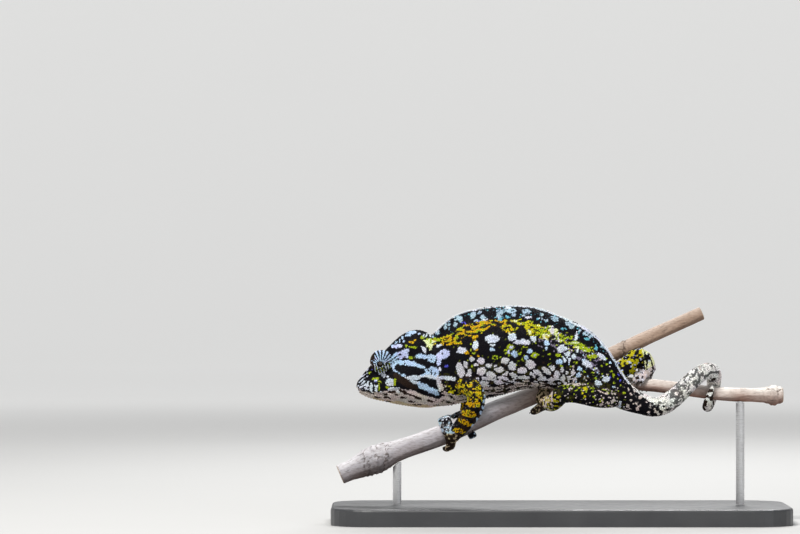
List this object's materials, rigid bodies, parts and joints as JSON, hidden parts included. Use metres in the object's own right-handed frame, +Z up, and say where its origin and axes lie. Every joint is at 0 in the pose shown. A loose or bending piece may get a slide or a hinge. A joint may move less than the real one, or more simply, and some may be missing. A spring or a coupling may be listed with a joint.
{
  "type": "carpet chameleon model",
  "caption": "Life-size still carpet chameleon with turret eyes, grasping feet and a curled tail, on a forked twig held by a plain flat display stand.",
  "frame": {"origin": "middle of the overall box at the underside of the stand's base", "axes": "-X towards the head, -Y towards the animal's left side, which the picture shows, +Z up"},
  "size_m": [0.16, 0.064, 0.0759],
  "materials": {
    "skin": "granular scales, black with pale, lilac, yellow and orange marks",
    "skin_pale": "granular scales, mottled greyish white and black",
    "eye": "dark, wet gloss",
    "bark": "dry greyish brown bark",
    "base_paint": "satin charcoal paint",
    "steel": "brushed"
  },
  "bodies": {
    "root": {"head": "skin", "lower_jaw": "skin", "eyelid_left": "skin", "eyelid_right": "skin", "eye_left": "eye", "eye_right": "eye", "neck": "skin", "torso": "skin", "tail_base": "skin_pale", "tail_middle": "skin_pale", "tail_bend": "skin_pale", "tail_wrap": "skin_pale", "tail_tip": "skin_pale", "upper_arm_left": "skin", "upper_arm_right": "skin", "forearm_left": "skin", "forearm_right": "skin", "forefoot_left": "skin", "forefoot_right": "skin", "thigh_left": "skin", "thigh_right": "skin", "shank_left": "skin", "shank_right": "skin", "hindfoot_left": "skin", "hindfoot_right": "skin", "perch_branch": "bark", "perch_twig": "bark", "stand_base": "base_paint", "stand_rod_front": "steel", "stand_rod_rear": "steel"}
  },
  "joints": []
}
